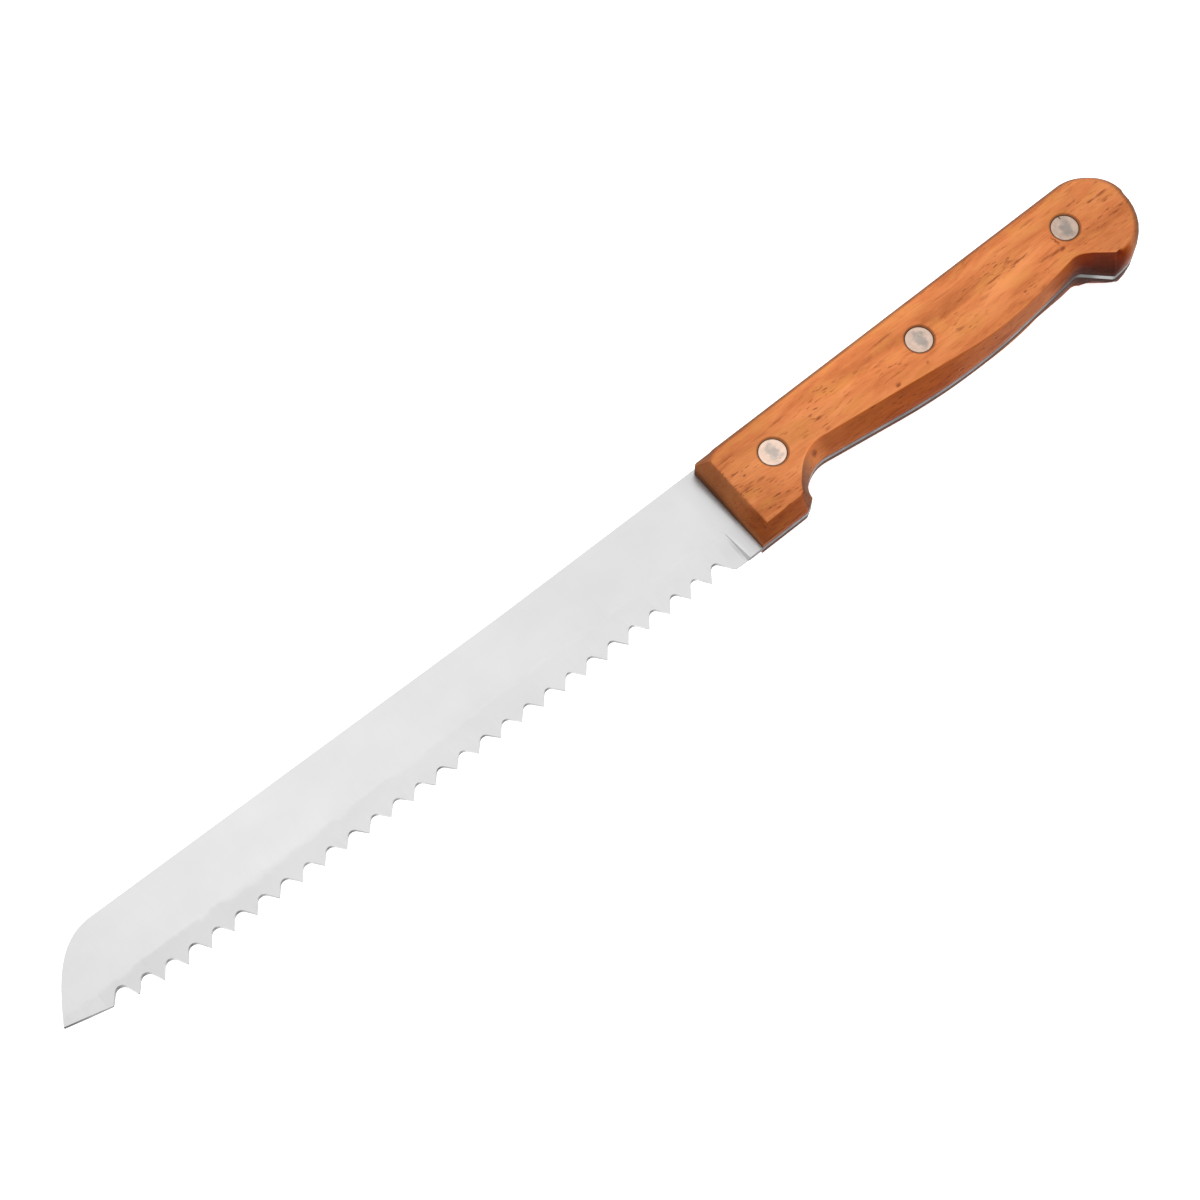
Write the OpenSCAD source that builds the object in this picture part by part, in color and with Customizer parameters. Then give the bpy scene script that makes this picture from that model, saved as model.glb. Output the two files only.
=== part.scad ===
// Bread knife with a scalloped blade, a full tang and a riveted wooden handle.
// It lies flat on its side: the point is at -X, the butt at +X, the spine
// towards +Y, and +Z is square to the blade. Lengths are millimetres.

/* [Blade] */
// Length of the blade in front of the handle
blade_len = 200; // [190:1:210]
// Thickness of the blade and tang
blade_t = 1.5; // [1.2:0.1:2]
// Depth of the blade at the heel, from the handle's top line
heel_w = 26.3; // [25.5:0.1:27]
// Height of the spine over the handle's top line, where they meet
spine_step = 0.4; // [0:0.1:0.8]
// Height that the spine gains between the handle and the nose
spine_rise = 2.6; // [1:0.1:4]
// Distance from the handle to the place where the spine turns into the nose
nose_start = 180; // [172:1:184]
// Depth of the point below the handle's top line
point_drop = 14.3; // [13:0.1:15]

/* [Serrations] */
// Number of gullets between the teeth
gullet_n = 28; // [20:1:28]
// Distance from one tooth to the next
tooth_pitch = 6.41; // [6:0.01:6.45]
// Depth of the first and the last gullet
gullet_depth = 3.4; // [3:0.1:3.6]
// Depth that the gullets lose towards the middle of the edge
gullet_dip = 0.8; // [0:0.1:1]
// Radius of the round top of the gullet nearest the nose
nose_gullet_r = 1.9; // [1.2:0.1:2]
// Radius of the round top of the gullet nearest the handle
heel_gullet_r = 1.4; // [1.2:0.1:2]
// Slant of the bevel ground round each gullet on the left side of the blade
gullet_slant = 16; // [5:1:40]
// Flat left on each tooth's point
tooth_flat = 0.2; // [0.1:0.05:0.4]
// Depth of the first teeth below the handle's top line, at the heel
edge_drop_heel = 25.5; // [25:0.1:26]
// Depth of the teeth where the edge starts to sweep up
edge_drop_front = 20.5; // [20:0.1:21.5]
// Distance from the handle to the place where the edge sweeps up
sweep_start = 166; // [160:1:170]
// Height that the sweep gains by the last tooth
sweep_rise = 2.4; // [1.5:0.1:3]

/* [Edge grind] */
// Thickness left at the teeth
edge_t = 0.4; // [0.3:0.05:0.8]
// Depth of the grind line at the heel end
grind_drop_heel = 16.8; // [15:0.1:18]
// Depth of the grind line at the nose end
grind_drop_nose = 12.6; // [12:0.1:14]
// Distance from the handle to the end of the grind
grind_gap = 4.6; // [3:0.1:7]
// Length of the grind
grind_len = 185; // [150:1:190]
// Length of the slope at each end of the grind
grind_run_out = 1.4; // [0.5:0.1:3]

/* [Handle] */
// Length of the handle
handle_len = 133.2; // [130:0.1:136]
// Thickness over both scales
handle_t = 16; // [14:0.5:18]
// Height of the butt's round, from its widest place down to the hook
butt_low_r = 14.5; // [13:0.1:15]
// Inset of the scale's face from the front and the round edges
edge_inset = 3; // [2:0.1:3.4]

/* [Rivets] */
// Distance from the front of the handle to the first rivet
rivet_front = 16.1; // [14:0.1:18]
// Distance from the front of the handle to the second rivet
rivet_middle = 64.1; // [60:0.1:68]
// Distance from the front of the handle to the third rivet
rivet_rear = 113.4; // [111:0.1:115]
// Depth of the rivets below the handle's top line
rivet_drop = 10.8; // [10:0.1:12]
// Diameter of a rivet head
head_d = 7.2; // [6:0.1:8]
// Thickness of a rivet head
head_t = 1.2; // [0.8:0.1:1.6]
// Outside diameter of a rivet's sleeve
sleeve_d = 5; // [4:0.1:5.4]
// Diameter of a rivet's pin
pin_d = 3.2; // [2.4:0.1:3.6]
// Gap round each rivet head and sleeve in the wood
rivet_gap = 0.05; // [0.02:0.01:0.1]

/* [Hidden] */
$fn = 64;

half_t = handle_t / 2;
butt_x = handle_len;
face_in = edge_inset;
tang_gap = 0.2;         // the tang's holes are this much wider than a sleeve
spare = 1;              // how far a cutter runs past what it cuts
rim_break = 0.15;       // small bevel round each rivet head
pin_end_gap = 0.8;      // room left past the ends of the pin and the sleeve

low_wall = 2.4;         // height of the wall under the grip's lower bevel
front_wall = 4.8;       // height of the wall under the front bevel
round_wall = 4.8;       // height of the wall under the round edges
butt_wall = 3.6;        // height of the wall under the butt's low round
hook_wall = 2.3;        // height of the wall at the tip of the butt's hook
notch_wall = 5.2;       // height of the wall where the grip meets the hook
bevel = 0;              // shape of an edge: a straight bevel
round_edge = 1;         // shape of an edge: a quarter round

// The scale's outline, from the top of the front down, along the grip and
// round the butt. Each corner is [x, y, fillet radius] at the tang, then
// [x, y, fillet radius] at the outer face, then the wall's height and the
// shape of the edge there.
corners = [
    [[0, 0, 1], [face_in, -face_in, 0.4], front_wall, bevel],
    [[0, -heel_w, 0], [face_in, -24, 0], low_wall, bevel],
    [[14.6, -heel_w, 1.6], [13.8, -24, 0.8], low_wall, bevel],
    [[17.5, -24.6, 0.8], [15, -23.4, 0.5], low_wall, bevel],
    [[17.7, -22.2, 5], [16.2, -21.6, 3], low_wall, bevel],
    [[23.9, -17.4, 10], [22.6, -14.6, 11], low_wall, bevel],
    [[71.3, -24.3, 170], [84, -22.2, 100], low_wall, bevel],
    [[105.5, -20.6, 0], [105, -19.2, 0], notch_wall, bevel],
    [[110.2, -20.1, 3], [110.8, -18.3, 7], notch_wall, bevel],
    [[113.4, -23.2, 0], [114.6, -21, 0], hook_wall, bevel],
    [[117.1, -26.8, 1.2], [118.5, -24.1, 0.6], hook_wall, bevel],
    [[butt_x, -25.6, butt_low_r], [butt_x - face_in, -23.3, 10.5],
     butt_wall, round_edge],
    [[butt_x, -6.5, 10], [butt_x - face_in, -8, 8], round_wall, round_edge],
    [[125, 0.1, 12], [124, -face_in, 10], round_wall, round_edge],
    [[6, 0, 0], [6, -face_in, 0], round_wall, round_edge]
];

// Points along one fillet of a closed outline: a radius of 0 keeps the corner.
function unit(v) = v / norm(v);
function fillet(before, at, after, r, steps) =
    r == 0 ? [at] :
    let (a = unit(before - at), b = unit(after - at),
         half = acos(a * b) / 2,
         centre = at + unit(a + b) * r / sin(half),
         from = at + a * r / tan(half) - centre,
         to = at + b * r / tan(half) - centre,
         sweep = 180 - 2 * half)
    [for (i = [0 : steps])
        let (t = i / steps)
        centre + (sin((1 - t) * sweep) * from + sin(t * sweep) * to) / sin(sweep)];
function at_level(c, level) = [corners[c][level].x, corners[c][level].y];
function fillet_steps(c) = corners[c][0].z < 2 ? 3 : 9;
function ring_corner(c, level) =
    let (n = len(corners))
    fillet(at_level((c + n - 1) % n, level), at_level(c, level),
           at_level((c + 1) % n, level), corners[c][level].z, fillet_steps(c));
function ring(level) =
    [for (c = [0 : len(corners) - 1]) each ring_corner(c, level)];
// The corner that each point of a ring belongs to
ring_owner = [for (c = [0 : len(corners) - 1])
              for (i = ring_corner(c, 0)) c];

tang_ring = ring(0);
face_ring = ring(1);

// Triangles that fill a flat outline, which runs anticlockwise: one ear is cut
// off at a time. The loop holds the places of the outline's points.
function turn(a, b, c) = (b.x - a.x) * (c.y - a.y) - (b.y - a.y) * (c.x - a.x);
function in_triangle(a, b, c, p) =
    turn(a, b, p) >= 0 && turn(b, c, p) >= 0 && turn(c, a, p) >= 0;
function ear(loop, i) = let (n = len(loop)) [loop[i], loop[(i + 1) % n], loop[(i + 2) % n]];
function is_ear(outline, loop, i) =
    let (e = ear(loop, i), a = outline[e[0]], b = outline[e[1]], c = outline[e[2]])
    turn(a, b, c) > 0
    && len([for (k = loop)
            if (k != e[0] && k != e[1] && k != e[2] && in_triangle(a, b, c, outline[k])) k]) == 0;
function first_ear(outline, loop, i = 0) =
    is_ear(outline, loop, i) ? i : first_ear(outline, loop, i + 1);
function fill(outline, loop) =
    len(loop) == 3 ? [loop] :
    let (i = first_ear(outline, loop), tip = ear(loop, i)[1])
    concat([ear(loop, i)], fill(outline, [for (k = loop) if (k != tip) k]));

nose_pull = [5.5, 9.5]; // how the nose's curve sets off from the point
heel_end = 9;           // distance from the handle to the end of the teeth
heel_ease = 2;          // length of the round from the last gullet to the heel
last_gullet_x = 12.2;   // distance from the handle to the nearest gullet
first_tooth_x = last_gullet_x + (gullet_n - 0.5) * tooth_pitch;

// Height of the spine and of the edge, at x from 0 to -blade_len
function spine_y(x) = spine_step + spine_rise * pow(x / nose_start, 2);
function sweep_y(x) =
    let (past = max(0, -x - sweep_start),
         whole = first_tooth_x - sweep_start)
    sweep_rise * pow(past / whole, 2);
function edge_y(x) =
    -edge_drop_heel + sweep_y(x)
    + (edge_drop_heel - edge_drop_front) * (-x - heel_end) / (sweep_start - heel_end);

function bezier(a, b, c, d, steps) =
    [for (i = [1 : steps])
        let (t = i / steps, s = 1 - t)
        s * s * s * a + 3 * s * s * t * b + 3 * s * t * t * c + t * t * t * d];

spine_end = [-nose_start, spine_y(-nose_start)];
point = [-blade_len, -point_drop];
blade_outline = concat(
    [for (i = [0 : 12]) let (x = -nose_start * i / 12) [x, spine_y(x)]],
    bezier(spine_end, spine_end + [-9, 0.2], point + nose_pull, point, 18),
    [for (i = [0 : 4]) let (x = -first_tooth_x + i * (first_tooth_x - sweep_start) / 4)
        [x, edge_y(x)]],
    [[-heel_end, edge_y(-heel_end)], [-heel_end + heel_ease / 4, -heel_w + 0.2],
     [-heel_end + heel_ease, -heel_w]],
    [for (i = [0 : len(tang_ring) - 1]) if (ring_owner[i] > 0) tang_ring[i]]);

// Place of the origin: the middle of the box round the knife, on its underside
low_y = min([for (p = blade_outline) p.y]);
high_y = max([for (p = blade_outline) p.y]);
to_frame = [(blade_len - handle_len) / 2, -(low_y + high_y) / 2, half_t];

module rivet_places() {
    for (x = [rivet_front, rivet_middle, rivet_rear])
        translate([x, -rivet_drop, 0]) children();
}

// One gullet: a round top and two straight flanks that meet at the teeth. It
// goes straight through, and again at a slant that bevels its left rim.
module gullet(depth, top_r) {
    half_w = (tooth_pitch - tooth_flat) / 2;
    rise = depth - top_r;
    flank = atan(rise / half_w) + asin(top_r / norm([half_w, rise]));
    foot = half_w + spare / tan(flank);
    reach = blade_t + depth; // the slanted cutter runs out well above the blade
    for (slant = [0, gullet_slant])
        rotate([-slant, 0, 0])
            linear_extrude(height = 2 * reach, center = true)
                polygon(concat(
                    [[-foot, -spare], [foot, -spare]],
                    [for (i = [-6 : 6])
                        let (a = 90 + i / 6 * flank)
                        [top_r * cos(a), rise + top_r * sin(a)]]));
}

module gullets() {
    for (i = [0 : gullet_n - 1]) {
        x = -last_gullet_x - i * tooth_pitch;
        slope = atan(edge_y(x + 0.5) - edge_y(x - 0.5));
        way = i / (gullet_n - 1);
        depth = gullet_depth - gullet_dip * sin(180 * way);
        top_r = heel_gullet_r + way * (nose_gullet_r - heel_gullet_r);
        translate([x, edge_y(x), 0]) rotate([0, 0, slope]) gullet(depth, top_r);
    }
}

// Wedge ground off one side of the blade, from the grind line to the teeth
module side_grind() {
    line_turn = atan((grind_drop_heel - grind_drop_nose) / grind_len);
    reach = edge_drop_heel - grind_drop_heel;
    grind_turn = atan((blade_t - edge_t) / 2 / reach);
    translate([-grind_gap, -grind_drop_heel, blade_t / 2])
        rotate([0, 0, -line_turn]) rotate([90 + grind_turn, 0, 0])
            linear_extrude(height = 2 * reach)
                polygon([[-grind_len, 0], [0, 0],
                         [grind_run_out, spare], [-grind_len - grind_run_out, spare]]);
}

module blade() {
    color([0.87, 0.87, 0.88])
    translate(to_frame)
    difference() {
        linear_extrude(height = blade_t, center = true) polygon(blade_outline);
        gullets();
        side_grind();
        mirror([0, 0, 1]) side_grind();
        rivet_places()
            cylinder(d = sleeve_d + 2 * tang_gap, h = 2 * blade_t, center = true);
    }
}

// One wooden scale, from the tang's face out to its own flat face. The wall
// stands square on the tang, and its edge is then bevelled or rounded over.
module scale_body() {
    tang_face = blade_t / 2;
    edge_steps = 4;
    n = len(tang_ring);
    rings = edge_steps + 2;
    function edge_point(i, u) =
        let (wall = corners[ring_owner[i]][2], w = corners[ring_owner[i]][3],
             inward = w * (1 - cos(90 * u)) + (1 - w) * u,
             upward = w * sin(90 * u) + (1 - w) * u,
             p = tang_ring[i] + inward * (face_ring[i] - tang_ring[i]))
        [p.x, p.y, wall + upward * (half_t - wall)];
    points = concat(
        [for (p = tang_ring) [p.x, p.y, tang_face]],
        [for (k = [0 : edge_steps]) for (i = [0 : n - 1]) edge_point(i, k / edge_steps)]);
    sides = [for (k = [0 : rings - 2]) for (i = [0 : n - 1])
        let (j = (i + 1) % n, a = k * n + i, b = k * n + j)
        each [[a, a + n, b + n], [a, b + n, b]]];
    loop = [for (i = [0 : n - 1]) i];
    top = (rings - 1) * n;
    polyhedron(points = points, faces = concat(
        sides,
        fill(tang_ring, loop),
        [for (t = fill(face_ring, loop)) [top + t[2], top + t[1], top + t[0]]]));
}

module drilled_scale() {
    seat = half_t - head_t;
    difference() {
        scale_body();
        rivet_places() {
            cylinder(d = sleeve_d + 2 * rivet_gap, h = handle_t + 2 * spare);
            translate([0, 0, seat])
                cylinder(d = head_d + 2 * rivet_gap, h = head_t + spare);
        }
    }
}

module left_scale() {
    color([0.85, 0.53, 0.33]) translate(to_frame) drilled_scale();
}

module right_scale() {
    color([0.85, 0.53, 0.33]) translate(to_frame) mirror([0, 0, 1]) drilled_scale();
}

// Outer profile of half a compression rivet: its shank points down from its
// head. Each point is [radius, height over the tang's middle].
function rivet_outside(shank_d, shank_end) =
    let (head_r = head_d / 2, seat = half_t - head_t)
    [[shank_d / 2, shank_end], [shank_d / 2, seat], [head_r, seat],
     [head_r, half_t - rim_break], [head_r - rim_break, half_t], [0, half_t]];

module rivet_place(x) {
    color([0.8, 0.79, 0.77]) translate(to_frame) translate([x, -rivet_drop, 0]) children();
}

// The sleeve goes in from the left side and stops short of the pin's head
module rivet_sleeve(x) {
    shank_end = head_t + pin_end_gap - half_t;
    bore_r = pin_d / 2;
    bore_end = half_t - head_t - pin_end_gap;
    rivet_place(x) rotate_extrude()
        polygon(concat(rivet_outside(sleeve_d, shank_end),
                       [[0, bore_end], [bore_r, bore_end], [bore_r, shank_end]]));
}

// The pin goes in from the right side and is driven into the sleeve's bore
module rivet_pin(x) {
    shank_end = head_t + 2 * pin_end_gap - half_t;
    rivet_place(x) mirror([0, 0, 1]) rotate_extrude()
        polygon(concat(rivet_outside(pin_d, shank_end), [[0, shank_end]]));
}

blade();
left_scale();
right_scale();
rivet_sleeve(rivet_front);  // front_rivet_sleeve
rivet_sleeve(rivet_middle);  // middle_rivet_sleeve
rivet_sleeve(rivet_rear);  // rear_rivet_sleeve
rivet_pin(rivet_front);  // front_rivet_pin
rivet_pin(rivet_middle);  // middle_rivet_pin
rivet_pin(rivet_rear);  // rear_rivet_pin
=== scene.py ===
# Bread knife: satin scalloped blade with a full tang, two oiled wooden scales, three compression rivets
import math

import bpy
from mathutils import Matrix, Vector


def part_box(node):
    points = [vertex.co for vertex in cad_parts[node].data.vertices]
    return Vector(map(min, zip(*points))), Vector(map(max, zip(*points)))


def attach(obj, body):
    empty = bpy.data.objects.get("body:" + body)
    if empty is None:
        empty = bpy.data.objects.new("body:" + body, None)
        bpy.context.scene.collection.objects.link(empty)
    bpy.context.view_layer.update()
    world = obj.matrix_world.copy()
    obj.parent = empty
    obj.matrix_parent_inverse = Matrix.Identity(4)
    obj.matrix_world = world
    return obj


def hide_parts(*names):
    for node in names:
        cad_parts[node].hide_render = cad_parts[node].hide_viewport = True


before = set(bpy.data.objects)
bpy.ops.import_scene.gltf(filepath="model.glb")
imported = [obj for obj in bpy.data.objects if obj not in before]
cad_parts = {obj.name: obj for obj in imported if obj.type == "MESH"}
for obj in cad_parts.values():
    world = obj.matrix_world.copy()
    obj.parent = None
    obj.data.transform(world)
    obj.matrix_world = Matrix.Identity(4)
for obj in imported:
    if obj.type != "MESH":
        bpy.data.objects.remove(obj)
bpy.ops.object.select_all(action="DESELECT")
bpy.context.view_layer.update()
mm = 0.001

# the knife's own places, all read from the frame
bladeLow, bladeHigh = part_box("blade")
scaleLow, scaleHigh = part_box("left_scale")
handleFront = scaleLow.x
handleTop = scaleHigh.y
midPlane = (bladeLow.z + bladeHigh.z) / 2
knifeStart = Vector((handleFront, handleTop, midPlane))  # front of the handle, on its top line
rivetPlaces = ("front", "middle", "rear")


def middleOf(node):
    low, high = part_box(node)
    return (low + high) / 2


rivetAxes = [middleOf(place + "_rivet_sleeve") for place in rivetPlaces]
print("frame loaded, handle from", round(handleFront, 4), "to", round(scaleHigh.x, 4))


# camera, floor and lights

cameraPlan = {
    "place": (-0.1819, -0.2111, 0.6712),
    "lookAt": (-0.0055, 0.0006, 0.008),
    "up": (0.640, 0.768, 0.0),
    "lens": 89.41,
    "nearest": 0.01,
}


def placeCamera(plan):
    place = Vector(plan["place"])
    ahead = (Vector(plan["lookAt"]) - place).normalized()
    right = ahead.cross(Vector(plan["up"])).normalized()
    turned = Matrix((right, right.cross(ahead), -ahead)).transposed().to_4x4()
    bpy.ops.object.camera_add()
    camera = bpy.context.object
    camera.name = "camera"
    camera.matrix_world = Matrix.Translation(place) @ turned
    camera.data.lens = plan["lens"]
    camera.data.clip_start = plan["nearest"]
    bpy.context.scene.camera = camera


lightPlan = {
    "key": {"towards": (0.42, 0.40, 0.81), "away": 1.1, "size": (0.9, 0.9), "power": 9.0,
            "gloss": False, "shadow": False},
    "top": {"towards": (0.25, 0.30, 0.92), "away": 1.5, "size": (2.0, 2.0), "power": 13.0,
            "gloss": True, "shadow": True},
    "world": 0.38,
}


def addSoftbox(name, plan):
    towards = Vector(plan["towards"]).normalized()
    bpy.ops.object.light_add(type="AREA", location=towards * plan["away"])
    lamp = bpy.context.object
    lamp.name = name
    lamp.rotation_euler = (-towards).to_track_quat("-Z", "Y").to_euler()
    lamp.data.shape = "RECTANGLE"
    lamp.data.size, lamp.data.size_y = plan["size"]
    lamp.data.energy = plan["power"]
    lamp.data.use_shadow = plan["shadow"]
    lamp.visible_glossy = plan["gloss"]


def addLights(plan):
    addSoftbox("keySoftbox", plan["key"])
    addSoftbox("topSoftbox", plan["top"])
    world = bpy.data.worlds.new("studio")
    world.use_nodes = True
    world.node_tree.nodes["Background"].inputs["Color"].default_value = (1, 1, 1, 1)
    world.node_tree.nodes["Background"].inputs["Strength"].default_value = plan["world"]
    bpy.context.scene.world = world
    bpy.context.scene.view_settings.view_transform = "Standard"


floorPlan = {"size": 6.0, "color": (0.9, 0.9, 0.9), "roughness": 0.7, "glow": 0.42}


def layFloor(plan):
    bpy.ops.mesh.primitive_plane_add(size=plan["size"])
    floor = bpy.context.object
    floor.name = "floor"
    paper = bpy.data.materials.new("palePaper")
    paper.use_nodes = True
    shader = paper.node_tree.nodes["Principled BSDF"]
    shader.inputs["Base Color"].default_value = (*plan["color"], 1)
    shader.inputs["Roughness"].default_value = plan["roughness"]
    # lit a little from below, like a light table
    shader.inputs["Emission Color"].default_value = (1, 1, 1, 1)
    shader.inputs["Emission Strength"].default_value = plan["glow"]
    floor.data.materials.append(paper)


placeCamera(cameraPlan)
addLights(lightPlan)
layFloor(floorPlan)
print("camera, lights and floor set")


# small tools for materials

def newMaterial(name):
    material = bpy.data.materials.new(name)
    material.use_nodes = True
    return material, material.node_tree, material.node_tree.nodes["Principled BSDF"]


def addNode(tree, kind, inputs=None, **settings):
    # inputs: a socket name or number with a plain value, or another node's output to link
    made = tree.nodes.new(kind)
    for setting, value in settings.items():
        setattr(made, setting, value)
    for socket, value in (inputs or {}).items():
        if isinstance(value, bpy.types.NodeSocket):
            tree.links.new(value, made.inputs[socket])
        else:
            made.inputs[socket].default_value = value
    return made


def maths(tree, operation, a, b=0.0, clamp=False):
    return addNode(tree, "ShaderNodeMath", {0: a, 1: b}, operation=operation, use_clamp=clamp).outputs[0]


def times(tree, a, b):
    return maths(tree, "MULTIPLY", a, b)


def mapped(tree, vector, location=(0, 0, 0), scale=(1, 1, 1)):
    return addNode(tree, "ShaderNodeMapping", {
        "Vector": vector, "Location": location, "Scale": scale}).outputs[0]


def parts(tree, vector):
    return addNode(tree, "ShaderNodeSeparateXYZ", {0: vector}).outputs


def surfaceNormal(tree):
    return parts(tree, addNode(tree, "ShaderNodeTexCoord").outputs["Normal"])


def awayFrom(tree, place, x, y, halfLong=1.0, halfWide=1.0):
    # distance in the knife's own plane from a spot, where 1 is the edge of an oval of this size
    local = mapped(tree, place, location=(-x / halfLong, -y / halfWide, 0),
                   scale=(1 / halfLong, 1 / halfWide, 0))
    return addNode(tree, "ShaderNodeVectorMath", {0: local}, operation="LENGTH").outputs["Value"]


def awayFromRivets(tree, place, aside=(0, 0), halfLong=1.0, halfWide=1.0):
    nearest = None
    for axis in rivetAxes:
        spot = (axis - knifeStart) / mm
        away = awayFrom(tree, place, spot.x + aside[0], spot.y + aside[1], halfLong, halfWide)
        nearest = maths(tree, "MINIMUM", nearest, away) if nearest else away
    return nearest


def noiseNode(tree, place, density, detail, roughness, shift=(0, 0, 0)):
    # density says how fast the noise changes along x, y and z, per mm
    return addNode(tree, "ShaderNodeTexNoise", {
        "Vector": mapped(tree, place, location=shift, scale=density), "Scale": 1.0, "Detail": detail,
        "Roughness": roughness})


def noise(tree, place, density, detail, roughness, shift=(0, 0, 0)):
    return noiseNode(tree, place, density, detail, roughness, shift).outputs[0]


def between(tree, value, low, high, outLow=0.0, outHigh=1.0, smooth=True):
    return addNode(tree, "ShaderNodeMapRange", {
        0: value, 1: low, 2: high, 3: outLow, 4: outHigh,
    }, interpolation_type="SMOOTHSTEP" if smooth else "LINEAR").outputs[0]


def ramp(tree, value, stops):
    made = addNode(tree, "ShaderNodeValToRGB", {"Fac": value})
    band = made.color_ramp
    while len(band.elements) < len(stops):
        band.elements.new(0.5)
    for element, (place, color) in zip(band.elements, stops):
        element.position = place
        element.color = (*color, 1)
    return made.outputs["Color"]


def mixColor(tree, factor, a, b, blend="MIX"):
    made = tree.nodes.new("ShaderNodeMix")
    made.data_type = "RGBA"
    made.blend_type = blend
    for socket, value in ((0, factor), (6, a), (7, b)):
        if isinstance(value, bpy.types.NodeSocket):
            tree.links.new(value, made.inputs[socket])
        elif socket == 0:
            made.inputs[socket].default_value = value
        else:
            made.inputs[socket].default_value = (*value, 1)
    return made.outputs[2]


def mixValue(tree, factor, a, b):
    return addNode(tree, "ShaderNodeMix", {0: factor, 2: a, 3: b}, data_type="FLOAT").outputs[0]


def curve(tree, value, stops):
    # a value that changes along the stops, held as half of it in a ramp
    halves = [(place, (level / 2,) * 3) for place, level in stops]
    return maths(tree, "MULTIPLY", ramp(tree, value, halves), 2.0)


def scaled(tree, color, factor):
    # a colour or a place times a value
    return addNode(tree, "ShaderNodeVectorMath", {0: color, 3: factor}, operation="SCALE").outputs[0]


def knifeMillimetres(tree):
    # object coordinates in millimetres from the front of the handle, on its top line
    start = addNode(tree, "ShaderNodeTexCoord").outputs["Object"]
    moved = addNode(tree, "ShaderNodeVectorMath", {0: start, 1: tuple(knifeStart)}, operation="SUBTRACT")
    return scaled(tree, moved.outputs[0], 1 / mm)


# steel of the blade

steelPlan = {
    "color": (0.60, 0.60, 0.605),
    "roughness": 0.34,
    "groundRoughness": 0.42,
    "roughnessSpread": 0.05,
    # painted sheen: the steel's brightness as lit, from the handle, 0, to the point, 1
    "paintedSheenAlong": ((0.0, 0.86), (0.012, 0.90), (0.035, 0.96), (0.28, 0.975), (0.5, 1.01),
                   (0.75, 1.05), (0.88, 1.03), (1.0, 0.97)),
    # the ground band's tone along the blade: partly its own satin, partly painted light
    "groundFinishAndLightAlong": ((0.0, 1.10), (0.3, 1.10), (0.5, 1.06), (0.75, 1.01), (0.88, 1.01),
                    (0.93, 1.05), (1.0, 1.06)),
    # painted shade: tone from faces that look down, 0, past the flat sides, 0.5, to the spine, 1
    "shadeByFacing": ((0.0, 0.26), (0.02, 0.32), (0.06, 0.52), (0.12, 0.64), (0.18, 0.80), (0.28, 0.97),
                 (0.5, 1.0), (0.7, 0.95), (0.9, 0.78), (1.0, 0.7)),
    "grindLine": ((-4.6, -16.8), (-189.6, -12.6)),  # heel end and nose end, mm
    "grindFade": (-0.6, 1.6),  # the satin of the grind comes in over this width, mm
    "grindWaver": 1.2,
    # painted shade and highlight where the grind ends at the heel: middle x and y, half width and half height
    # in mm, tone
    "heelShadeAndHighlight": ((-5.1, -22.5, 0.75, 5.0, 0.80), (-7.2, -22.0, 2.4, 4.5, 0.95),
                  (-3.9, -22.5, 0.8, 4.5, 1.07)),
    # painted highlight: the end of the grind at the heel is made lighter
    "heelEndHighlight": (-4.0, -20.0, 2.0, 8.0, 1.0),  # the end of the grind shines; the last number is how much
    "hookShade": (106.0, -24.5, 9.0, 8.0, 0.08),  # the tang is in shade there; the last number is its tone
    # painted shade on the faces that look down is stronger or weaker from gullet to gullet
    "gulletPace": 0.13,  # how fast the gullets' tones differ along the blade, per mm
    "gulletShadeSpread": (0.65, 1.2),  # darkest and lightest gullet
    # painted shade on the blunt edge under the point
    "pointEdgeShade": (-200.5, -14.5, 6.0, 3.0, 0.75),  # the blunt edge under the point is darkest
    # density along x, y and z per mm, detail, roughness
    "lines": ((9.0, 0.12, 0.12), 3.0, 0.6),  # satin lines run across the blade
    "clouds": ((0.035, 0.06, 0.06), 3.0, 0.55),
    "waver": ((0.16, 0.16, 0.16), 3.0, 0.6),
    "cloudTone": (0.975, 1.025),
    "lineDepth": 0.00001,
}


def belowGrindLine(tree, place, plan):
    # distance below the line from the heel end to the nose end, mm
    (heelX, heelY), (noseX, noseY) = plan["grindLine"]
    along = Vector((noseX - heelX, noseY - heelY)).normalized()
    across = Vector((along.y, -along.x))
    if across.y > 0:
        across.negate()
    fromHeel = addNode(tree, "ShaderNodeVectorMath", {0: place, 1: (heelX, heelY, 0)}, operation="SUBTRACT")
    return addNode(tree, "ShaderNodeVectorMath", {
        0: fromHeel.outputs[0], 1: (across.x, across.y, 0)}, operation="DOT_PRODUCT").outputs["Value"]


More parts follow.
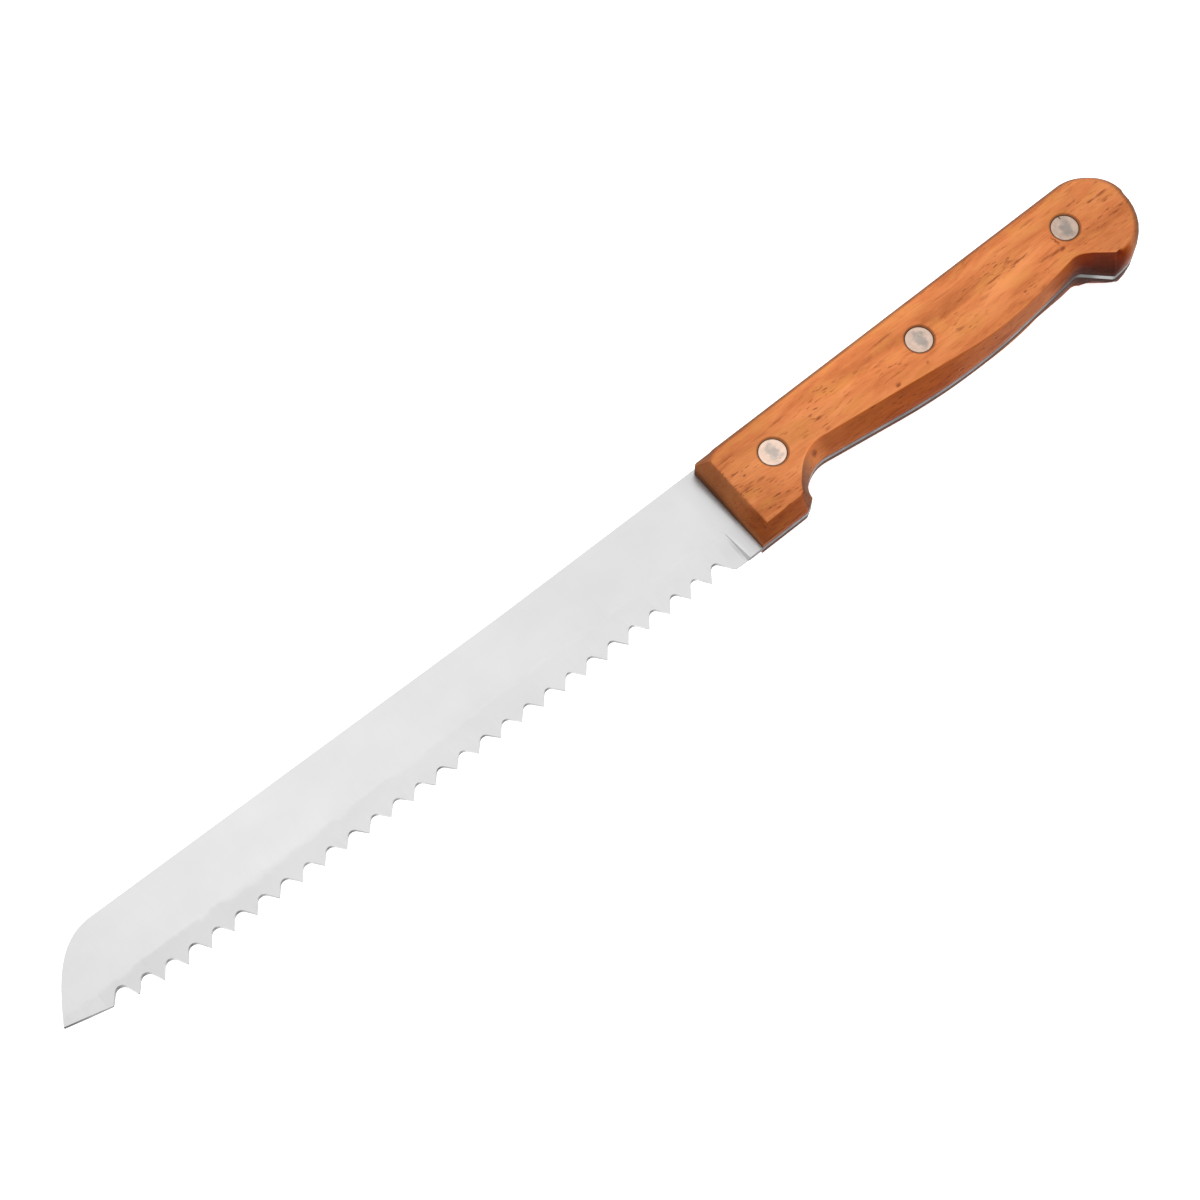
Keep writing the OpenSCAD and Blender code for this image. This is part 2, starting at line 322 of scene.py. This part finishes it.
def bladeSteel(plan):
    material, tree, shader = newMaterial("bladeSteel")
    place = knifeMillimetres(tree)
    lines = noise(tree, place, *plan["lines"])
    clouds = noise(tree, place, *plan["clouds"])
    waver = noise(tree, place, *plan["waver"])
    reach = plan["grindWaver"]
    below = maths(tree, "ADD", belowGrindLine(tree, place, plan),
                  between(tree, waver, 0.3, 0.7, -reach, reach, smooth=False))
    ground = between(tree, below, *plan["grindFade"])
    fromHandle = between(tree, parts(tree, place)[0], 0.0, (bladeLow.x - knifeStart.x) / mm, smooth=False)
    # painted sheen along the blade, with a random cloudy tone
    shade = times(tree, curve(tree, fromHandle, plan["paintedSheenAlong"]),
                  between(tree, clouds, 0.3, 0.7, *plan["cloudTone"]))
    # the ground band: partly its own satin, partly painted light
    shade = times(tree, shade, mixValue(tree, ground, 1.0, curve(tree, fromHandle, plan["groundFinishAndLightAlong"])))
    # painted shade and highlight where the grind ends at the heel
    for *spot, tone in plan["heelShadeAndHighlight"]:
        shade = times(tree, shade, between(tree, awayFrom(tree, place, *spot), 1.0, 0.0, 1.0, tone))
    # painted shade on faces that look down towards the teeth and on the rounded spine
    toX, toY = surfaceNormal(tree)[:2]
    facing = between(tree, toY, -1.0, 1.0, smooth=False)
    shade = times(tree, shade, curve(tree, facing, plan["shadeByFacing"]))
    # painted highlight at the end of the grind
    *spot, glow = plan["heelEndHighlight"]
    shine = times(tree, between(tree, awayFrom(tree, place, *spot), 1.0, 0.9),
                  between(tree, maths(tree, "ABSOLUTE", toX), 0.06, 0.16, 0.0, glow))
    shade = times(tree, shade, maths(tree, "ADD", 1.0, shine))
    *spot, tone = plan["hookShade"]
    shade = times(tree, shade, between(tree, awayFrom(tree, place, *spot), 1.0, 0.5, 1.0, tone))
    # painted shade on the faces that look down varies from gullet to gullet
    uneven = noise(tree, place, (plan["gulletPace"], 0.0, 0.0), 2.0, 0.6)
    shade = times(tree, shade, mixValue(tree, between(tree, toY, -0.2, -0.6), 1.0,
                                        between(tree, uneven, 0.38, 0.62, *plan["gulletShadeSpread"])))
    # painted shade on the blunt edge under the point
    *spot, depth = plan["pointEdgeShade"]
    point = times(tree, between(tree, awayFrom(tree, place, *spot), 1.0, 0.2),
                  between(tree, toY, -0.85, -0.95, 0.0, depth))
    shade = times(tree, shade, maths(tree, "SUBTRACT", 1.0, point))
    tree.links.new(scaled(tree, plan["color"], shade), shader.inputs["Base Color"])
    spread = plan["roughnessSpread"]
    rough = maths(tree, "ADD", between(tree, lines, 0.2, 0.8, -spread, spread, smooth=False),
                  between(tree, ground, 0.0, 1.0, plan["roughness"], plan["groundRoughness"]))
    tree.links.new(rough, shader.inputs["Roughness"])
    shader.inputs["Metallic"].default_value = 1.0
    bump = addNode(tree, "ShaderNodeBump", {"Height": lines, "Strength": 0.5, "Distance": plan["lineDepth"]})
    tree.links.new(bump.outputs[0], shader.inputs["Normal"])
    return material


# wood of the scales

woodPlan = {
    "light": (0.72, 0.265, 0.093),
    "middle": (0.57, 0.175, 0.055),
    "dark": (0.36, 0.095, 0.026),
    "honey": (0.60, 0.235, 0.060),
    "pore": (0.17, 0.040, 0.012),
    "endGrain": (0.34, 0.11, 0.038),
    "mark": (0.20, 0.046, 0.012),
    # painted shade: the bevels that face down are darker
    "bevelShade": (0.66, 0.42, 0.15),  # tone of the bevels under the grip, times the wood's own
    # how many times over it is laid, up to 3, from the front of the handle, 0, to the butt, 1
    "bevelShadeAlong": ((0.0, 0.9), (0.10, 0.9), (0.15, 0.2), (0.22, 0.85), (0.40, 1.25), (0.55, 0.65),
                   (0.74, 0.3), (0.80, 1.1), (0.84, 2.3), (0.90, 2.4), (0.93, 0.0)),
    # painted shade: the rounded edge along the top, the butt, the front bevel, its corner and its upper end
    # are darker
    "spineEdge": 0.30,  # how dark the edge along the top is, times the wood's own
    "buttEdge": 0.42,
    "frontEdge": 0.70,
    "frontCorner": 0.6,
    "frontTop": 0.74,  # tone of the upper end of the front bevel
    # painted light: the bevel at the neck is made lighter
    "neckPaintedLight": ((0.0, 0.0), (0.12, 0.0), (0.15, 0.5), (0.18, 0.42), (0.215, 0.0)),  # lighter at the neck
    # painted shade: the wood next to the tang, and the down-facing walls next to it, are darker
    "jointShade": 0.55,  # how dark the wood is next to the tang
    "underShade": 0.26,  # and next to the tang under the grip
    # darker in a ring round each rivet
    "rivetRingTone": 0.42,  # and next to a rivet
    # painted light: the wood is lighter in the middle of the handle and darker towards both ends
    "paintedLightAlong": ((0.0, 0.92), (0.08, 0.93), (0.19, 1.03), (0.34, 1.09), (0.6, 1.03), (0.8, 1.01),
                  (0.9, 0.92), (1.0, 0.88)),
    "roughness": 0.6,
    "gloss": 0.14,
    "poreDepth": 0.00012,
    # density along x, y and z per mm, detail, roughness and shift; x is the way of the grain
    "wander": ((0.02, 0.05, 0.05), 2.0, 0.5),
    "swayReach": 7.0,  # how far the grain wanders, mm
    "bands": ((0.012, 0.20, 0.20), 4.0, 0.6),
    "patches": ((0.05, 0.19, 0.19), 5.0, 0.68, (7, 3, 0)),
    "fibres": ((0.14, 2.6, 2.6), 4.0, 0.6),
    "streaks": ((0.12, 0.75, 0.75), 4.0, 0.62),
    "poreField": ((0.36, 2.1, 2.1), 2.0, 0.5),
    "poreArea": ((0.05, 0.16, 0.16), 2.0, 0.5),
    "warmth": ((0.09, 0.22, 0.22), 3.0, 0.6, (40, 9, 3)),
    "fray": ((0.5, 0.9, 0.9), 3.0, 0.65),
    "frayReach": (2.2, 0.7, 0),  # how ragged the marks' edges are, mm
}

# short dark marks in the grain: middle x and y, half length and half width in mm, strength
leftMarks = (
    (5.8, -5.1, 2.6, 0.32, 0.5), (22.4, -5.3, 2.6, 0.30, 0.5), (16.2, -5.6, 2.8, 0.25, 0.35),
    (30.8, -11.2, 1.3, 0.36, 0.8), (4.8, -14.3, 1.6, 0.35, 0.6), (9.1, -14.5, 1.2, 0.4, 0.5),
    (24.7, -16.8, 0.9, 0.5, 0.8), (30.6, -14.7, 0.8, 0.45, 0.45), (24.9, -12.8, 0.9, 0.4, 0.35),
    (57.5, -5.0, 3.0, 0.30, 0.6), (45.8, -7.6, 1.0, 0.35, 0.45), (52.0, -17.0, 0.8, 0.45, 0.85),
    (52.5, -14.5, 3.8, 0.30, 0.3), (61.5, -16.9, 0.5, 0.4, 0.5), (74.1, -15.3, 1.5, 0.4, 0.6),
    (76.5, -5.3, 3.2, 0.3, 0.3), (89.6, -10.3, 2.2, 0.22, 0.75), (98.2, -10.3, 2.4, 0.26, 0.8),
    (93.4, -9.9, 1.6, 0.2, 0.4), (103.8, -14.2, 2.0, 0.28, 0.6), (106.8, -14.7, 1.8, 0.34, 0.75),
    (108.8, -14.9, 0.8, 0.5, 0.9), (108.9, -12.2, 0.35, 1.3, 0.8), (127.2, -9.5, 1.6, 0.35, 0.7),
    (127.0, -11.2, 1.4, 0.3, 0.45), (107.0, -3.8, 2.6, 0.35, 0.5), (119.8, -24.6, 0.9, 0.4, 0.4),
    (97.6, -19.9, 1.2, 0.45, 0.4), (126.4, -15.6, 1.2, 0.4, 0.4), (84.5, -12.6, 1.6, 0.5, 0.3),
)
leftShine = (
    (30.8, -10.3, 1.3, 0.3, 0.6), (8.3, -12.4, 3.0, 0.35, 0.4), (36.0, -13.0, 3.5, 0.7, 0.35),
    (69.0, -16.2, 3.2, 0.6, 0.4), (90.0, -12.6, 6.5, 1.5, 0.5), (98.5, -11.9, 5.0, 1.0, 0.5),
    (3.6, -17.5, 1.6, 0.8, 0.35), (84.8, -16.6, 4.5, 1.2, 0.35), (41.0, -9.6, 2.5, 0.8, 0.3),
)
rightMarks = (
    (12.5, -15.2, 2.8, 0.3, 0.5), (27.0, -6.4, 3.2, 0.28, 0.45), (38.5, -12.4, 1.6, 0.4, 0.7),
    (47.0, -5.1, 2.2, 0.3, 0.5), (55.2, -15.6, 2.6, 0.3, 0.45), (70.5, -12.8, 1.3, 0.42, 0.75),
    (79.0, -6.2, 3.0, 0.25, 0.5), (88.4, -15.4, 2.4, 0.3, 0.5), (99.5, -6.8, 1.8, 0.36, 0.6),
    (121.5, -12.6, 1.8, 0.35, 0.6), (125.0, -18.2, 1.3, 0.4, 0.45), (7.5, -7.9, 1.9, 0.3, 0.5),
)
rightShine = ((33.0, -9.8, 5.0, 0.9, 0.4), (60.5, -5.2, 3.5, 0.6, 0.35), (83.0, -11.4, 6.0, 1.2, 0.45))


def spots(tree, place, listed):
    # 1 inside the listed spots, fading to 0 at their edges
    field = 0.0
    for x, y, halfLong, halfWide, strength in listed:
        spot = between(tree, awayFrom(tree, place, x, y, halfLong, halfWide), 1.6, 0.3, 0.0, strength)
        field = maths(tree, "MAXIMUM", field, spot)
    return field


def handleWood(name, plan, shift, marks, shine, under):
    material, tree, shader = newMaterial(name)
    knife = knifeMillimetres(tree)
    place = mapped(tree, knife, location=shift)
    wander = noise(tree, place, *plan["wander"])
    sway = times(tree, maths(tree, "SUBTRACT", wander, 0.5), plan["swayReach"])
    swayed = addNode(tree, "ShaderNodeVectorMath", {
        0: place, 1: addNode(tree, "ShaderNodeCombineXYZ", {1: sway}).outputs[0]}, operation="ADD").outputs[0]
    bands, patches, fibres, streaks, poreField, poreArea, warmth = (
        noise(tree, swayed, *plan[kind])
        for kind in ("bands", "patches", "fibres", "streaks", "poreField", "poreArea", "warmth"))
    tone = maths(tree, "ADD", times(tree, bands, 0.45), times(tree, patches, 0.55))
    color = ramp(tree, between(tree, tone, 0.33, 0.66, smooth=False),
                 ((0.0, plan["dark"]), (0.42, plan["middle"]), (1.0, plan["light"])))
    color = mixColor(tree, between(tree, warmth, 0.48, 0.68, 0.0, 0.55), color, plan["honey"])
    color = mixColor(tree, between(tree, streaks, 0.55, 0.70, 0.0, 0.55), color, plan["dark"])
    color = mixColor(tree, between(tree, fibres, 0.35, 0.8, 0.0, 0.35), color, plan["dark"])
    # light and dark marks with ragged edges
    ragged = noiseNode(tree, knife, *plan["fray"]).outputs["Color"]
    reach = Vector(plan["frayReach"])
    edge = mapped(tree, ragged, location=-reach / 2, scale=reach)
    frayed = addNode(tree, "ShaderNodeVectorMath", {0: knife, 1: edge}, operation="ADD").outputs[0]
    color = mixColor(tree, spots(tree, frayed, shine), color, plan["light"])
    dark = spots(tree, frayed, marks)
    pores = times(tree, between(tree, poreField, 0.60, 0.70), between(tree, poreArea, 0.42, 0.62))
    color = mixColor(tree, dark, color, plan["mark"])
    color = mixColor(tree, times(tree, pores, 0.7), color, plan["pore"])
    # end grain where the surface cuts across the fibres
    toX, toY = surfaceNormal(tree)[:2]
    endGrain = between(tree, maths(tree, "ABSOLUTE", toX), 0.35, 0.85, 0.0, 0.6)
    color = mixColor(tree, endGrain, color, plan["endGrain"])
    # painted shade: the bevels that face down are darker
    knifeX, knifeY, knifeZ = parts(tree, knife)
    along = between(tree, knifeX, 0.0, (scaleHigh.x - scaleLow.x) / mm, smooth=False)
    bevelShade = times(tree, between(tree, toY, -0.25, -0.6), curve(tree, along, plan["bevelShadeAlong"]))
    for laid in (0, 1, 2):
        part = maths(tree, "SUBTRACT", bevelShade, laid, clamp=True)
        color = mixColor(tree, part, color, mixColor(tree, 1.0, color, plan["bevelShade"], "MULTIPLY"))
    # painted shade: the rounded top edge, the butt, the front bevel with its upper end and corner, the wood
    # next to the tang and under the handle are darker; painted light makes the neck lighter; the wood is also
    # darker in a ring round each rivet
    upper = times(tree, between(tree, toX, -0.4, -0.6), between(tree, knifeY, -17, -8))
    corner = times(tree, between(tree, toX, -0.15, -0.35), between(tree, toY, 0.1, 0.3))
    neck = times(tree, between(tree, toY, -0.1, -0.4), curve(tree, along, plan["neckPaintedLight"]))
    below = times(tree, curve(tree, along, under["along"]), between(tree, toY, -0.2, -0.45))
    fromTang = maths(tree, "ABSOLUTE", knifeZ)
    ring = awayFromRivets(tree, knife, aside=(0.2, 0.05))
    # painted light along the handle
    shade = curve(tree, along, plan["paintedLightAlong"])
    for tone in (
            between(tree, toY, 0.40, 0.82, 1.0, plan["spineEdge"]),
            between(tree, toX, 0.12, 0.62, 1.0, plan["buttEdge"]),
            between(tree, toX, -0.85, -0.97, 1.0, plan["frontEdge"]),
            mixValue(tree, upper, 1.0, plan["frontTop"]),
            mixValue(tree, corner, 1.0, plan["frontCorner"]),
            maths(tree, "ADD", 1.0, neck),
            between(tree, fromTang, 1.1, 1.6, plan["jointShade"], 1.0),
            mixValue(tree, below, 1.0, between(tree, fromTang, *under["reach"], plan["underShade"], 1.0)),
            between(tree, ring, 3.8, 4.35, plan["rivetRingTone"], 1.0)):
        shade = times(tree, shade, tone)
    tree.links.new(scaled(tree, color, shade), shader.inputs["Base Color"])
    rough = maths(tree, "ADD", between(tree, fibres, 0.3, 0.7, -0.06, 0.08), plan["roughness"])
    tree.links.new(rough, shader.inputs["Roughness"])
    height = maths(tree, "SUBTRACT", times(tree, fibres, 0.35), maths(tree, "MAXIMUM", pores, dark))
    bump = addNode(tree, "ShaderNodeBump", {"Height": height, "Strength": 0.6, "Distance": plan["poreDepth"]})
    tree.links.new(bump.outputs[0], shader.inputs["Normal"])
    shader.inputs["Specular IOR Level"].default_value = plan["gloss"]
    return material


# metal of the rivets

rivetMetalPlan = {
    # painted reflection: the lighter rim and the greyer dish of each head
    "rim": (0.71, 0.535, 0.435),
    "dish": (0.455, 0.385, 0.34),
    # painted light: the heads are darker towards the butt
    "paintedLightAlong": ((0.0, 1.02), (0.12, 1.02), (0.48, 0.80), (0.85, 0.64), (1.0, 0.64)),
    "nick": (114.3, -7.9, 0.28, 0.75, 0.35),  # dark dent in the rear head; the last number is its tone
    "nickDepth": 0.00005,
    "roughness": 0.36,
    "rub": ((6.0, 1.2, 1.2), 3.0, 0.6),
    "cloud": ((0.6, 0.6, 0.6), 3.0, 0.6),
}


def rivetMetal(plan):
    material, tree, shader = newMaterial("rivetMetal")
    place = knifeMillimetres(tree)
    rub = noise(tree, place, *plan["rub"])
    cloud = noise(tree, place, *plan["cloud"])
    # painted reflection: a greyer oval in the middle of each head, inside a lighter rim
    oval = maths(tree, "ADD", awayFromRivets(tree, place, (0.35, -0.15), 1.75, 2.6),
                 between(tree, cloud, 0.3, 0.7, -0.35, 0.35, smooth=False))
    color = mixColor(tree, between(tree, oval, 1.25, 0.45), plan["rim"], plan["dish"])
    along = between(tree, parts(tree, place)[0], 0.0, (scaleHigh.x - scaleLow.x) / mm, smooth=False)
    # painted light along the handle, with a random cloudy tone
    shade = times(tree, curve(tree, along, plan["paintedLightAlong"]), between(tree, cloud, 0.3, 0.7, 0.93, 1.07))
    *nick, nickTone = plan["nick"]
    dent = between(tree, awayFrom(tree, place, *nick), 1.2, 0.3)
    shade = times(tree, shade, between(tree, dent, 0.0, 1.0, 1.0, nickTone))
    tree.links.new(scaled(tree, color, shade), shader.inputs["Base Color"])
    tree.links.new(between(tree, rub, 0.2, 0.8, plan["roughness"] - 0.06, plan["roughness"] + 0.08),
                   shader.inputs["Roughness"])
    shader.inputs["Metallic"].default_value = 1.0
    height = maths(tree, "SUBTRACT", times(tree, rub, 0.2), dent)
    bump = addNode(tree, "ShaderNodeBump", {"Height": height, "Strength": 0.4, "Distance": plan["nickDepth"]})
    tree.links.new(bump.outputs[0], shader.inputs["Normal"])
    return material


# painted shade under the handle, on the faces that look down next to the tang: how strong along the handle,
# and how far it reaches from the mid plane, mm
leftUnder = {
    "along": ((0.0, 0.0), (0.76, 0.0), (0.80, 0.8), (0.84, 0.9), (0.88, 0.9), (0.91, 0.0)),
    "reach": (2.8, 7.8),
}
rightUnder = {"along": ((0.0, 1.0), (1.0, 1.0)), "reach": (3.0, 5.6)}
steel = bladeSteel(steelPlan)
leftWood = handleWood("leftWood", woodPlan, (0, 0, 0), leftMarks, leftShine, leftUnder)
rightWood = handleWood("rightWood", woodPlan, (310, 47, 90), rightMarks, rightShine, rightUnder)
metal = rivetMetal(rivetMetalPlan)
print("materials made")


# small tools for meshes

weldDistance = 0.002 * mm
flatFold = 0.6  # faces that fold by less are one flat face, degrees
sharpFold = 60
touching = 0.01 * mm  # corners this near a level or a circle lie on it


def selectOnly(piece):
    bpy.ops.object.select_all(action="DESELECT")
    piece.select_set(True)
    bpy.context.view_layer.objects.active = piece


def mergedCopy(node, name):
    piece = bpy.data.objects.new(name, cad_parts[node].data.copy())
    bpy.context.scene.collection.objects.link(piece)
    selectOnly(piece)
    bpy.ops.object.mode_set(mode="EDIT")
    bpy.ops.mesh.select_all(action="SELECT")
    bpy.ops.mesh.remove_doubles(threshold=weldDistance)
    bpy.ops.mesh.dissolve_limited(angle_limit=math.radians(flatFold))
    bpy.ops.mesh.select_all(action="DESELECT")
    bpy.ops.object.mode_set(mode="OBJECT")
    return piece


def selectVertices(piece, wanted):
    bpy.ops.object.mode_set(mode="EDIT")
    bpy.ops.mesh.select_mode(type="VERT")
    bpy.ops.mesh.select_all(action="DESELECT")
    bpy.ops.object.mode_set(mode="OBJECT")
    for corner in piece.data.vertices:
        corner.select = wanted(corner.co)
    bpy.ops.object.mode_set(mode="EDIT")


def selectEdges(piece, wanted):
    # wanted(a, b, angle) says whether the edge between points a and b, which folds by angle, is picked
    bpy.ops.object.mode_set(mode="EDIT")
    bpy.ops.mesh.select_mode(type="EDGE")
    bpy.ops.mesh.select_all(action="DESELECT")
    bpy.ops.object.mode_set(mode="OBJECT")
    mesh = piece.data
    sides = {}
    for face in mesh.polygons:
        for key in face.edge_keys:
            sides.setdefault(key, []).append(face.normal)
    for edge in mesh.edges:
        normals = sides.get(edge.key, [])
        fold = math.degrees(normals[0].angle(normals[1], 0)) if len(normals) == 2 else 0
        a, b = (mesh.vertices[i].co for i in edge.vertices)
        edge.select = wanted(a, b, fold)
    bpy.ops.object.mode_set(mode="EDIT")


def selectFaces(piece, wanted):
    # wanted(middle, normal) says whether a face is picked
    bpy.ops.object.mode_set(mode="EDIT")
    bpy.ops.mesh.select_mode(type="FACE")
    bpy.ops.mesh.select_all(action="DESELECT")
    bpy.ops.object.mode_set(mode="OBJECT")
    for face in piece.data.polygons:
        face.select = wanted(face.center, face.normal)
    bpy.ops.object.mode_set(mode="EDIT")


def finish(piece, material, node, angle):
    bpy.ops.object.mode_set(mode="OBJECT")
    selectOnly(piece)
    bpy.ops.object.shade_smooth_by_angle(angle=math.radians(angle))
    piece.data.materials.clear()
    piece.data.materials.append(material)
    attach(piece, "root")
    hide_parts(node)


# blade

bladePlan = {
    "spineRound": 0.14 * mm,
    "spineReach": (-9.0 * mm, 140 * mm),  # down from the handle's top line, and along from its front
    "runOut": (-192.0 * mm, -189.9 * mm),  # where the grind ends at the nose, from the handle
    "runOutSlide": 4.0 * mm,  # how much longer and softer that end gets
    "sideHeight": 0.7 * mm,  # corners further from the mid plane than this are on the flat sides
}


def softenGrindEnd(blade, plan):
    # slides the corner where the grind ends, on each side, towards the point of the blade
    point = min((corner.co for corner in blade.data.vertices), key=lambda at: at.x).copy()
    low, high = plan["runOut"]
    for side in (-1, 1):
        selectVertices(blade, lambda at: low < at.x - handleFront < high and at.y < point.y
                       and (at.z - midPlane) * side > plan["sideHeight"])
        ends = [corner.co for corner in blade.data.vertices if corner.select]
        if ends:
            slide = (point.xy - ends[0].xy).normalized() * plan["runOutSlide"]
            bpy.ops.transform.translate(value=(slide.x, slide.y, 0))
        print("grind end softened,", len(ends), "corner")


def makeBlade(plan):
    blade = mergedCopy("blade", "bladeAndTang")
    lowest, furthest = plan["spineReach"]

    def spineEdge(a, b, fold):
        return (fold > sharpFold and min(a.y, b.y) > handleTop + lowest
                and max(a.x, b.x) < handleFront + furthest)

    softenGrindEnd(blade, plan)
    selectEdges(blade, spineEdge)
    bpy.ops.mesh.bevel(offset=plan["spineRound"], segments=3, profile=0.5, clamp_overlap=True)
    finish(blade, steel, "blade", angle=3)  # the grind line stays crisp


# scales

scalePlan = {
    "jointRound": 0.12 * mm,
    "edgeRound": 0.4 * mm,
    "edgeEnd": 117.5 * mm,  # the rounded edge of the face runs out before the hook's tip
    "seatRound": 0.1 * mm,
    "seatReach": 4.5 * mm,  # edges this near a rivet belong to its seat
    "faceFold": 20,  # the bevels meet the face at a lower angle, degrees
}


def makeScale(node, name, plan, wood):
    scale = mergedCopy(node, name)
    low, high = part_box(node)
    jointZ, faceZ = (low.z, high.z) if node == "left_scale" else (high.z, low.z)

    def onLevel(a, b, z):
        return abs(a.z - z) < touching and abs(b.z - z) < touching

    def nearRivet(a):
        return min((a.xy - axis.xy).length for axis in rivetAxes) < plan["seatReach"]

    def jointEdge(a, b, fold):
        return fold > sharpFold and onLevel(a, b, jointZ) and not nearRivet(a)

    def seatRim(a, b, fold):
        return fold > sharpFold and onLevel(a, b, faceZ) and nearRivet(a)

    def faceEdge(a, b, fold):
        return (fold > plan["faceFold"] and onLevel(a, b, faceZ) and not nearRivet(a)
                and max(a.x, b.x) < handleFront + plan["edgeEnd"])

    for wanted, width, segments in (
            (jointEdge, "jointRound", 2), (seatRim, "seatRound", 2), (faceEdge, "edgeRound", 3)):
        selectEdges(scale, wanted)
        bpy.ops.mesh.bevel(offset=plan[width], segments=segments, profile=0.5,
                           clamp_overlap=wanted is not faceEdge)
    finish(scale, wood, node, angle=28)


# rivets

rivetPlan = {
    "sides": 72,
    "headThick": 1.2 * mm,
    "rimRound": 0.22 * mm,
    "dish": ((0.75, 0.0), (0.30, 0.05), (0.55, 0.06), (0.9, 0.04)),  # steps in from the rim and down, mm
    "sleeve": {"radius": 2.5 * mm, "bore": 1.6 * mm, "boreStop": 2.0 * mm},
    "pin": {"radius": 1.6 * mm},
    "endRound": 0.15 * mm,
}


def makeRivetHalf(plan, kind, headRadius, length):
    # stands head up, with the head's top at the origin
    thick = plan["headThick"]
    radius = plan[kind]["radius"]
    bpy.ops.object.select_all(action="DESELECT")
    bpy.ops.mesh.primitive_cylinder_add(vertices=plan["sides"], radius=headRadius, depth=thick,
                                        location=(0, 0, -thick / 2))
    half = bpy.context.object
    bpy.ops.object.transform_apply(location=True, rotation=False, scale=False)
    selectFaces(half, lambda middle, normal: normal.z > 0.9)
    for step, down in plan["dish"]:
        bpy.ops.mesh.inset(thickness=step * mm, depth=-down * mm)
    selectFaces(half, lambda middle, normal: normal.z < -0.9)
    bpy.ops.mesh.inset(thickness=headRadius - radius)
    bpy.ops.mesh.extrude_region_move(TRANSFORM_OT_translate={"value": (0, 0, thick - length)})
    if "bore" in plan[kind]:
        deep = length - plan[kind]["boreStop"]
        bpy.ops.mesh.inset(thickness=radius - plan[kind]["bore"])
        bpy.ops.mesh.extrude_region_move(TRANSFORM_OT_translate={"value": (0, 0, deep)})

    def onCircle(at, reach, z):
        return abs(at.xy.length - reach) < touching and abs(at.z - z) < touching

    def roundEdge(reach, z):
        return lambda a, b, fold: (fold > sharpFold and onCircle(a, reach, z)
                                   and onCircle(b, reach, z))

    for reach, z, width in ((headRadius, 0, plan["rimRound"]), (radius, -length, plan["endRound"])):
        selectEdges(half, roundEdge(reach, z))
        bpy.ops.mesh.bevel(offset=width, segments=3, profile=0.5)
    bpy.ops.object.mode_set(mode="OBJECT")
    return half


def makeRivets(plan, kind, top):
    # top is 1 where the heads are on the left side of the knife, and -1 on the right
    nodes = [place + "_rivet_" + kind for place in rivetPlaces]
    low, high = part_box(nodes[0])
    first = makeRivetHalf(plan, kind, (high.x - low.x) / 2, high.z - low.z)
    halves = [first]
    for node in nodes[1:]:
        copied = first.copy()
        copied.data = first.data.copy()
        bpy.context.scene.collection.objects.link(copied)
        halves.append(copied)
    for half, place, node in zip(halves, rivetPlaces, nodes):
        middle = middleOf(node)
        half.name = place + kind.capitalize()
        half.location = (middle.x, middle.y, high.z if top > 0 else low.z)
        half.rotation_euler = (0 if top > 0 else math.pi, 0, 0)
        selectOnly(half)
        bpy.ops.object.transform_apply(location=True, rotation=True, scale=False)
        finish(half, metal, node, angle=32)


makeBlade(bladePlan)
print("blade made")
makeScale("left_scale", "leftScale", scalePlan, leftWood)
makeScale("right_scale", "rightScale", scalePlan, rightWood)
print("scales made")
makeRivets(rivetPlan, "sleeve", 1)
makeRivets(rivetPlan, "pin", -1)
print("rivets made")
